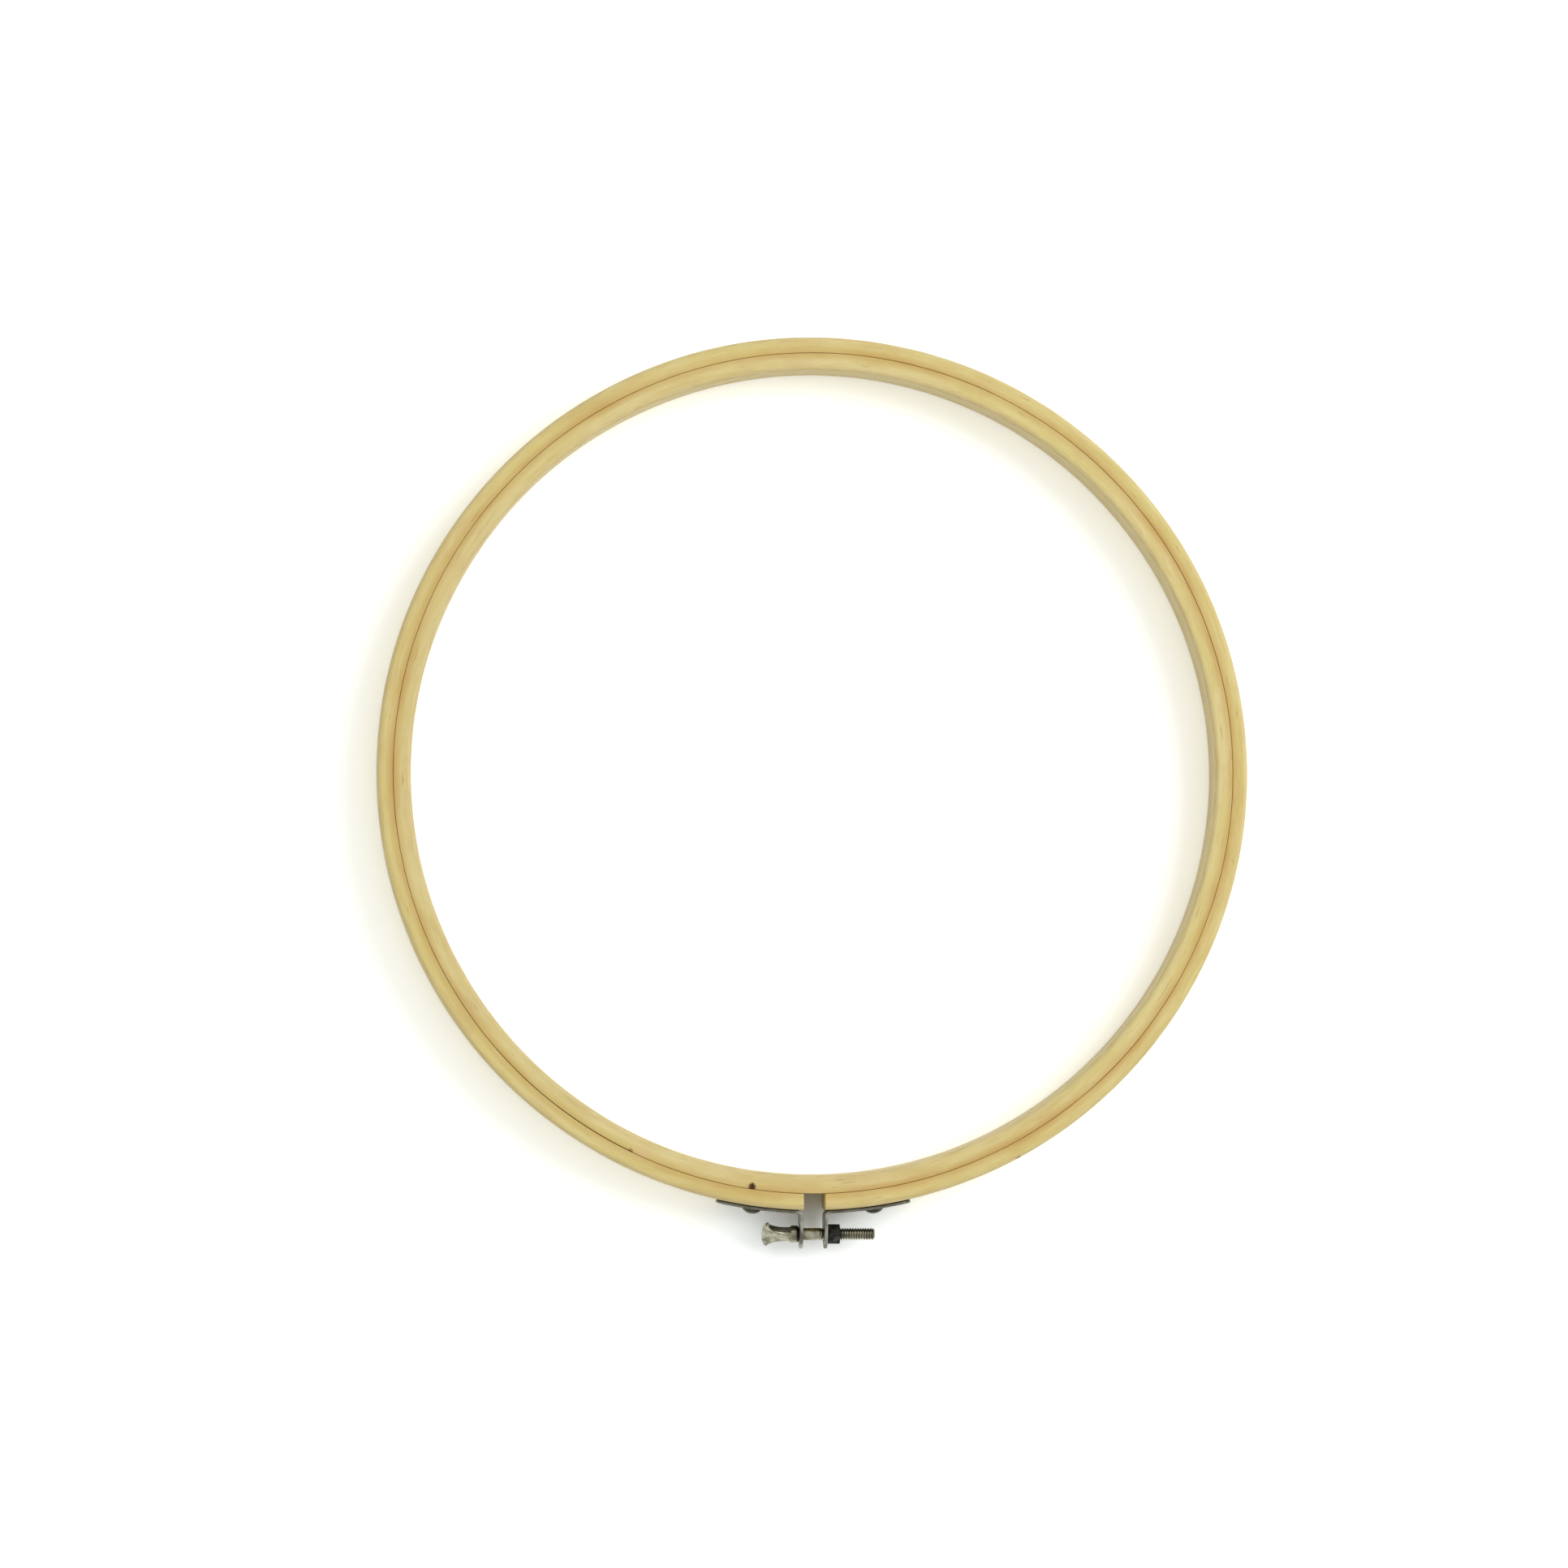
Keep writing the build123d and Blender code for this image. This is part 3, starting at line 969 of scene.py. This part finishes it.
def nut():
    """A hexagon nut whose corners are chamfered by a cone, and whose bore is threaded."""
    angle = round_trip(NUT_COLUMNS)
    flats = NUT_FLATS / 2
    # Two of its flats face along Y.
    hexagon = flats / np.cos(np.mod(angle + math.pi / 6, math.pi / 3) - math.pi / 6)
    hexagon = np.minimum(hexagon, flats * 2 / math.sqrt(3) - NUT_SOFT_CORNER)
    face = flats * NUT_FACE_SHARE
    rise = hexagon - face
    slope = math.tan(math.radians(NUT_CHAMFER_DEGREES))
    bore_start = NUT_START + NUT_SINK
    bore_end = NUT_END - NUT_SINK
    stations = [
        (bore_start, thread_radius(bore_start, angle) + NUT_SLACK),
        (NUT_START, THREAD + NUT_SINK_WIDER),
        (NUT_START, face - NUT_FACE_EDGE),
        (NUT_START + NUT_FACE_RISE, face),
    ]
    for share in NUT_CHAMFER_SHARES:
        stations.append((NUT_START + NUT_FACE_RISE + rise * share * slope, face + rise * share))
    for share in NUT_CHAMFER_SHARES[::-1]:
        stations.append((NUT_END - NUT_FACE_RISE - rise * share * slope, face + rise * share))
    stations += [
        (NUT_END - NUT_FACE_RISE, face),
        (NUT_END, face - NUT_FACE_EDGE),
        (NUT_END, THREAD + NUT_SINK_WIDER),
    ]
    for x in np.arange(bore_end, bore_start, -PITCH / NUT_THREAD_ROWS):
        stations.append((x, thread_radius(x, angle) + NUT_SLACK))
    points = [point for x, radius in stations for point in ring_about_x(x, radius, angle)]
    faces = grid_faces(len(stations), NUT_COLUMNS, True, True)
    return finish_mesh(add_object("nut_dark", at_screw(points), faces), METAL_SHARP)


def rivet(name, side):
    """A rivet with a domed head, a shank and a tail spread in its countersink."""
    rise = RIVET_RISE - RIVET_RIM
    dome = (RIVET_HEAD**2 + rise**2) / (2 * rise)
    outline = [(RIVET_RISE, 0)]
    for share in np.linspace(*RIVET_DOME_SHARES):
        radius = RIVET_HEAD * share
        outline.append((RIVET_RISE - dome + math.sqrt(dome**2 - radius**2), radius))
    outline += RIVET_BELOW_HEAD
    outline += RIVET_TAIL
    piece = lathe(name, outline, HOLE_POINTS, rivet_place(side, STRAP_SEAT + STRAP))
    return finish_mesh(piece, METAL_SHARP)


# The object

# Each spot's angle in degrees, radius, height, size, colour and share
INNER_SPOTS = (
    (CHIP, 64.7, 4.3, 0.85, linear(88, 56, 22), 0.95),
    (SCARF_END - 0.4, 64.9, 4.4, 0.5, linear(132, 92, 50), 0.6),
    (SCARF_END + 1.3, 64.2, 4.5, 1.3, linear(226, 190, 140), 0.5),
)
OUTER_SPOTS = ((-62.0, 67.6, 4.0, 0.6, linear(110, 78, 36), 0.7),)

inner_wood = bamboo(
    "bamboo_inner",
    pale=linear(229, 213, 150),
    middle=linear(220, 199, 128),
    deep=linear(208, 182, 108),
    seed=0.0,
    wall=INNER_INSIDE,
    spots=INNER_SPOTS,
)
outer_wood = bamboo(
    "bamboo_outer",
    pale=linear(227, 210, 142),
    middle=linear(217, 195, 118),
    deep=linear(206, 177, 98),
    seed=70.0,
    wall=OUTER_OUTSIDE,
    spots=OUTER_SPOTS,
)
plate_metal = metal(
    "dull_nickel",
    light=linear(158, 156, 146),
    dark=linear(98, 96, 86),
    roughness=0.36,
    corner_shade=0.8,
    darker_foot_beyond=3.2,
)
screw_metal = metal(
    "screw_nickel",
    light=linear(170, 166, 144),
    dark=linear(100, 98, 80),
    roughness=0.22,
    corner_shade=0.85,
    seed=4.0,
)
rivet_metal = metal(
    "tarnished_nickel",
    light=linear(74, 72, 56),
    dark=linear(44, 42, 31),
    roughness=0.4,
    corner_shade=0.7,
    seed=9.0,
)
nut_metal = metal(
    "dark_oxide",
    light=linear(88, 87, 82),
    dark=linear(34, 33, 31),
    roughness=0.34,
    corner_shade=0.3,
    seed=14.0,
)


def dress(piece, material, slot, *nodes):
    """Gives a piece its material, and lets it take the place of the CAD's nodes, which it hides. The slot is
    not used.
    """
    piece.data.materials.clear()
    piece.data.materials.append(material)
    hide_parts(*nodes)


inner = inner_hoop()
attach(inner, "inner_hoop")
dress(inner, inner_wood, "bamboo", "inner_hoop")

# The outer hoop bends between its two halves, opposite the split.
outer = outer_hoop()
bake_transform(outer)
dress(outer, outer_wood, "bamboo", "outer_hoop_left", "outer_hoop_right")

for word, side, hole in (("left", LEFT, LEFT_LUG_HOLE), ("right", RIGHT, RIGHT_LUG_HOLE)):
    strap = bracket(f"bracket_{word}_strap", side, hole)
    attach(strap, f"{word}_half")
    dress(strap, plate_metal, "plated_steel", f"bracket_{word}")
    pin = rivet(f"rivet_{word}_domed", side)
    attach(pin, f"{word}_half")
    dress(pin, rivet_metal, "rivet_steel", f"rivet_{word}")

screw = thumb_screw()
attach(screw, "thumb_screw")
dress(screw, screw_metal, "screw_steel", "thumb_screw")

hexagon_nut = nut()
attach(hexagon_nut, "nut")
dress(hexagon_nut, nut_metal, "dark_steel", "nut")


# Floor, light and camera, in metres but where a name or a comment says otherwise

FLOOR_HALF_SIZE = 4.0
FLOOR_COLOUR_SHARE = 0.8
GAP_BOUNCE_LIGHT_TINT = (1.0, 0.9, 0.64, 1)
OPEN_TINT = (0.975, 1, 0.985, 1)
NO_TINT = (1, 1, 1, 1)
BACKDROP_FROM = 0.3
BACKDROP_FULL = 1.2
SKY_LIGHT = 0.68
SKY_SEEN = 1.0
KEY_PLACE = (0.78, 0.37, 0.76)
KEY_SIZE = 0.9
KEY_POWER = 5.6
CAMERA_PLACE_MM = (-64.2, -37.8, 1100)
CAMERA_TARGET_MM = (-4.69, -1.8, 4.5)
CAMERA_ROLL_DEGREES = 0.04
LENS_MM = 163
SENSOR_MM = 36


def seen_directly(n):
    """1 for what the camera sees, also in a reflection or through glass, and 0 for the light itself."""
    path = n.add("LightPath")
    seen = n.math("MAXIMUM", path.outputs["Is Camera Ray"], path.outputs["Is Glossy Ray"])
    return n.math("MAXIMUM", seen, path.outputs["Is Transmission Ray"])


def floor():
    """A matt floor that keeps the object's shadow, and that the camera sees as white paper in full light,
    with painted shade and a painted warm bounce of light from the wood in its tight gaps.
    """
    half = FLOOR_HALF_SIZE
    z = -HALF_HEIGHT * METRE
    mesh = bpy.data.meshes.new("floor")
    corners = [(-half, -half, z), (half, -half, z), (half, half, z), (-half, half, z)]
    mesh.from_pydata(corners, [], [(0, 1, 2, 3)])
    piece = bpy.data.objects.new("floor", mesh)
    bpy.context.scene.collection.objects.link(piece)
    material, n = new_material("white_floor")
    seen = seen_directly(n)
    openness = n.openness(FLOOR_SHADE_REACH, 12)
    # Painted shade: where the floor is hemmed in, the camera sees it darker, and in the open brighter.
    paper_lift_and_gap_shade = n.math("MULTIPLY", seen, n.span(openness, 0.0, 0.3, -0.3, 0.78))
    # Painted light: in tight gaps a warm tint stands for light bounced off the wood.
    tint_with_gap_bounce = n.mix(n.span(openness, 0.02, 0.15), GAP_BOUNCE_LIGHT_TINT, OPEN_TINT)
    tint_with_gap_bounce = n.mix(seen, NO_TINT, tint_with_gap_bounce)
    matt = n.add("BsdfDiffuse")
    n.put_all(matt, Color=n.scaled(tint_with_gap_bounce, n.math("ADD", paper_lift_and_gap_shade, FLOOR_COLOUR_SHARE)))
    # Far from the object, the floor becomes a plain white backdrop.
    away = n.vector("LENGTH", n.add("TexCoord").outputs["Object"], output="Value")
    both = n.add("MixShader")
    n.put(both.inputs[0], n.math("MULTIPLY", seen, n.span(away, BACKDROP_FROM, BACKDROP_FULL)))
    n.put(both.inputs[1], matt.outputs[0])
    n.put(both.inputs[2], n.add("Emission").outputs[0])
    n.put(n.output.inputs["Surface"], both.outputs[0])
    mesh.materials.append(material)


def world():
    place = bpy.data.worlds.new("studio")
    bpy.context.scene.world = place
    n = Nodes(place, "OutputWorld")
    back = n.add("Background")
    back.inputs["Color"].default_value = NO_TINT
    n.put(back.inputs["Strength"], n.span(seen_directly(n), 0.0, 1.0, SKY_LIGHT, SKY_SEEN))
    n.put(n.output.inputs["Surface"], back.outputs[0])


def key_lamp():
    light = bpy.data.lights.new("key", "AREA")
    light.shape = "DISK"
    light.size = KEY_SIZE
    light.energy = KEY_POWER
    piece = bpy.data.objects.new("key", light)
    piece.location = KEY_PLACE
    piece.rotation_euler = (-Vector(KEY_PLACE)).to_track_quat("-Z", "Y").to_euler()
    bpy.context.scene.collection.objects.link(piece)


def camera():
    data = bpy.data.cameras.new("camera")
    data.lens = LENS_MM
    data.sensor_width = SENSOR_MM
    data.clip_end = 20
    piece = bpy.data.objects.new("camera", data)
    place = METRE * Vector(CAMERA_PLACE_MM)
    target = METRE * Vector(CAMERA_TARGET_MM)
    forward = (target - place).normalized()
    right = forward.cross(Vector((0, 1, 0))).normalized()
    up = right.cross(forward)
    turn = Matrix((right, up, -forward)).transposed()
    roll = Matrix.Rotation(math.radians(CAMERA_ROLL_DEGREES), 3, forward)
    piece.matrix_world = Matrix.Translation(place) @ (roll @ turn).to_4x4()
    bpy.context.scene.collection.objects.link(piece)
    bpy.context.scene.camera = piece


floor()
world()
key_lamp()
camera()
bpy.context.scene.view_settings.view_transform = "Standard"

bpy.context.view_layer.update()
